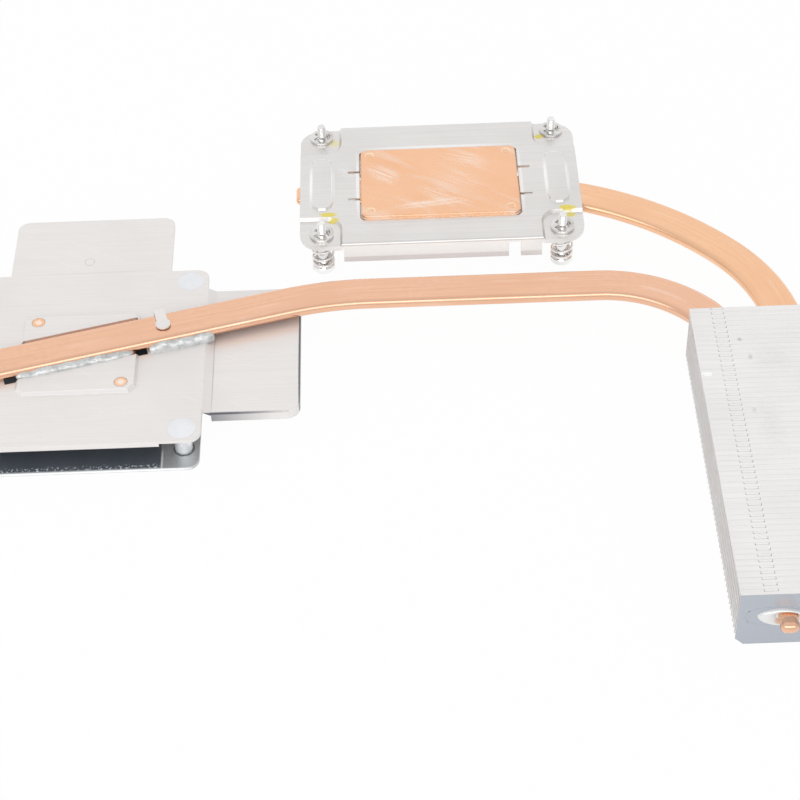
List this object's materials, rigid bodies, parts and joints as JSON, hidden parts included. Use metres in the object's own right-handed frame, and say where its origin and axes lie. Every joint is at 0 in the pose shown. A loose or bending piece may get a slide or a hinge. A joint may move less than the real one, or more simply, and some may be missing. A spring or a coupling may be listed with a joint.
{
  "type": "laptop heatsink",
  "caption": "Laptop heatsink with a sprung processor block and a graphics plate, each soldered to a flattened heat pipe that ends in a shared stack of folded fins.",
  "frame": {"origin": "middle of the processor cold plate's contact face", "axes": "+Z out of that contact face, +X from the graphics plate towards the fin stack, +Y away from the stack"},
  "size_m": [0.1899, 0.1533, 0.0145],
  "materials": {
    "bracket_aluminium": "satin stamped sheet",
    "plate_aluminium": "satin stamped sheet",
    "fin_aluminium": "thin bright sheet",
    "copper": "bare copper, finely brushed",
    "pipe_copper": "bare copper tube, lightly heat stained",
    "solder": "cast solder",
    "back_steel": "plated sheet",
    "film": "black insulating film",
    "screw_steel": "plated steel",
    "clip_steel": "spring steel",
    "spring_steel": "drawn spring wire",
    "post_steel": "turned steel"
  },
  "bodies": {
    "heatsink": {"cpu_bracket": "bracket_aluminium", "cpu_cold_plate": "copper", "cpu_heat_pipe": "pipe_copper", "cpu_pipe_collar": "solder", "gpu_plate": "plate_aluminium", "gpu_cold_plate": "copper", "gpu_heat_pipe": "pipe_copper", "gpu_pipe_collar": "solder", "gpu_back_plate": "back_steel", "gpu_film": "film", "gpu_bead_pad": "solder", "gpu_bead_edge": "solder", "fin_stack": "fin_aluminium", "gpu_post_1": "post_steel", "gpu_post_2": "post_steel", "gpu_post_3": "post_steel", "gpu_post_4": "post_steel", "cpu_spring_1": "spring_steel", "cpu_spring_2": "spring_steel", "cpu_spring_3": "spring_steel", "cpu_spring_4": "spring_steel"},
    "clip_1": {"cpu_clip_1": "clip_steel"},
    "screw_1": {"cpu_screw_1": "screw_steel"},
    "clip_2": {"cpu_clip_2": "clip_steel"},
    "screw_2": {"cpu_screw_2": "screw_steel"},
    "clip_3": {"cpu_clip_3": "clip_steel"},
    "screw_3": {"cpu_screw_3": "screw_steel"},
    "clip_4": {"cpu_clip_4": "clip_steel"},
    "screw_4": {"cpu_screw_4": "screw_steel"}
  },
  "joints": [
    {"name": "screw_press_1", "type": "slide", "parent": "heatsink", "child": "clip_1", "axis": [0, 0, 1], "range_m": [0, 0.0025], "stiffness_N_per_m": 2000, "deforming": ["cpu_spring_1"]},
    {"name": "screw_turn_1", "type": "hinge", "parent": "clip_1", "child": "screw_1", "pos_m": [-0.02705, -0.016, 0], "axis": [0, 0, 1], "continuous": true},
    {"name": "screw_press_2", "type": "slide", "parent": "heatsink", "child": "clip_2", "axis": [0, 0, 1], "range_m": [0, 0.0025], "stiffness_N_per_m": 2000, "deforming": ["cpu_spring_2"]},
    {"name": "screw_turn_2", "type": "hinge", "parent": "clip_2", "child": "screw_2", "pos_m": [-0.02705, 0.0188, 0], "axis": [0, 0, 1], "continuous": true},
    {"name": "screw_press_3", "type": "slide", "parent": "heatsink", "child": "clip_3", "axis": [0, 0, 1], "range_m": [0, 0.0025], "stiffness_N_per_m": 2000, "deforming": ["cpu_spring_3"]},
    {"name": "screw_turn_3", "type": "hinge", "parent": "clip_3", "child": "screw_3", "pos_m": [0.02705, -0.016, 0], "axis": [0, 0, 1], "continuous": true},
    {"name": "screw_press_4", "type": "slide", "parent": "heatsink", "child": "clip_4", "axis": [0, 0, 1], "range_m": [0, 0.0025], "stiffness_N_per_m": 2000, "deforming": ["cpu_spring_4"]},
    {"name": "screw_turn_4", "type": "hinge", "parent": "clip_4", "child": "screw_4", "pos_m": [0.02705, 0.0188, 0], "axis": [0, 0, 1], "continuous": true}
  ]
}
